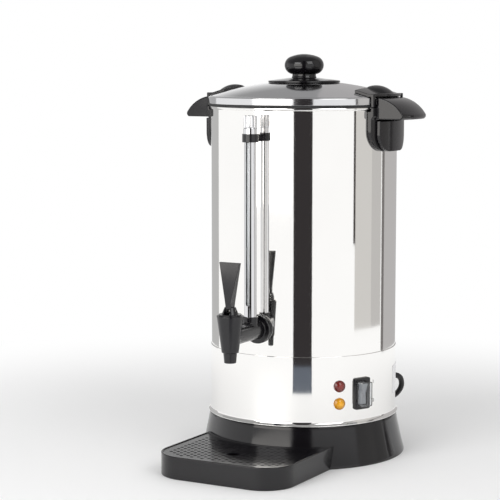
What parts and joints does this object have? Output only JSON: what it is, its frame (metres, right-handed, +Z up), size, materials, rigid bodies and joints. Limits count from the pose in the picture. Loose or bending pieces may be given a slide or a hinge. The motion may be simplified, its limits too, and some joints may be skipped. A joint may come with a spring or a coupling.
{
  "type": "coffee urn",
  "caption": "Free-standing electric hot-drink urn: steel tank, lift-off lid, lever tap with sight gauge, side handles, lit switch panel and a drip tray.",
  "frame": {"origin": "on the tank's axis, in the plane the black base ring stands on", "axes": "+Z up along the tank's axis, -Y towards the tap and the user, +X towards the handle on the side of the switch panel"},
  "size_m": [0.3315, 0.457, 0.4829],
  "materials": {
    "polished_steel": "polished",
    "plain_steel": "satin",
    "chromed": "polished",
    "cast_plate": "satin",
    "black_gloss": "gloss",
    "black_matte": "satin",
    "clear_glass": "clear",
    "clear_boot": "clear",
    "silicone": "matte",
    "rubber_black": "matte",
    "red_lens": "gloss",
    "amber_lens": "gloss",
    "white_rocker": "gloss",
    "label_film": "satin",
    "terminal_plastic": "satin",
    "pin_brass": "polished"
  },
  "bodies": {
    "urn": {"tank": "polished_steel", "skirt_band": "polished_steel", "base_ring": "black_gloss", "base_plate": "plain_steel", "base_screws": "plain_steel", "base_feet": "rubber_black", "tie_rods": "plain_steel", "rod_nuts": "plain_steel", "heater_plate": "cast_plate", "boil_element": "plain_steel", "keep_warm_element": "plain_steel", "boil_thermostat": "plain_steel", "safety_cutout": "plain_steel", "terminal_block": "terminal_plastic", "handle_right": "black_gloss", "handle_left": "black_gloss", "handle_cover_right": "black_gloss", "handle_cover_left": "black_gloss", "handle_bolts": "plain_steel", "handle_nuts": "plain_steel", "tap_body": "black_gloss", "tap_washer_outer": "silicone", "tap_washer_inner": "silicone", "tap_nut": "black_matte", "tap_bonnet": "black_gloss", "lever_pin": "plain_steel", "gauge_shield": "chromed", "gauge_glass": "clear_glass", "gauge_seals": "silicone", "gauge_collar": "chromed", "gauge_bolt": "plain_steel", "boil_lamp": "red_lens", "warm_lamp": "amber_lens", "lamp_nuts": "black_matte", "switch_frame": "black_gloss", "switch_boot": "clear_boot", "rating_label": "label_film", "lead_gland": "black_matte", "lead_run": "black_matte", "lead_coil": "black_matte", "coil_tie": "black_matte", "plug_body": "black_matte", "plug_pins": "pin_brass"},
    "lid": {"lid_shell": "polished_steel", "lug_rivets": "plain_steel", "knob_guard": "black_gloss", "lid_knob": "black_gloss", "knob_bolt": "plain_steel", "lid_lug_right": "black_gloss", "lid_lug_left": "black_gloss"},
    "lever": {"tap_lever": "black_gloss"},
    "valve": {"valve_cup": "silicone", "valve_stem": "plain_steel"},
    "rocker": {"switch_rocker": "white_rocker"},
    "tray": {"drip_tray": "black_gloss"},
    "grid": {"drip_grid": "black_matte"},
    "vent_cap": {"gauge_vent_cap": "chromed"}
  },
  "joints": [
    {"name": "lid_lift", "type": "slide", "parent": "urn", "child": "lid", "axis": [0, 0, 1], "range_m": [0, 0.12]},
    {"name": "tap_lever_pull", "type": "hinge", "parent": "urn", "child": "lever", "pos_m": [0, -0.1795, 0.1926], "axis": [1, 0, 0], "range_deg": [0, 35], "stiffness_Nm_per_rad": 0.15, "springref_deg": -17.19},
    {"name": "valve_lift", "type": "slide", "parent": "urn", "child": "valve", "axis": [0, 0, 1], "range_m": [0, 0.0041]},
    {"name": "rocker_press", "type": "hinge", "parent": "urn", "child": "rocker", "pos_m": [0.10088, -0.04726, 0.0852], "axis": [-0.4242, -0.9056, 0], "range_deg": [0, 16]},
    {"name": "tray_pull", "type": "slide", "parent": "urn", "child": "tray", "axis": [0, -1, 0], "range_m": [0, 0.15]},
    {"name": "grid_lift", "type": "slide", "parent": "tray", "child": "grid", "axis": [0, 0, 1], "range_m": [0, 0.05]},
    {"name": "vent_cap_lift", "type": "slide", "parent": "urn", "child": "vent_cap", "axis": [0, 0, 1], "range_m": [0, 0.03]}
  ],
  "couplings": [
    {"joint": "valve_lift", "follows": "tap_lever_pull", "m_per_rad": 0.006548}
  ]
}
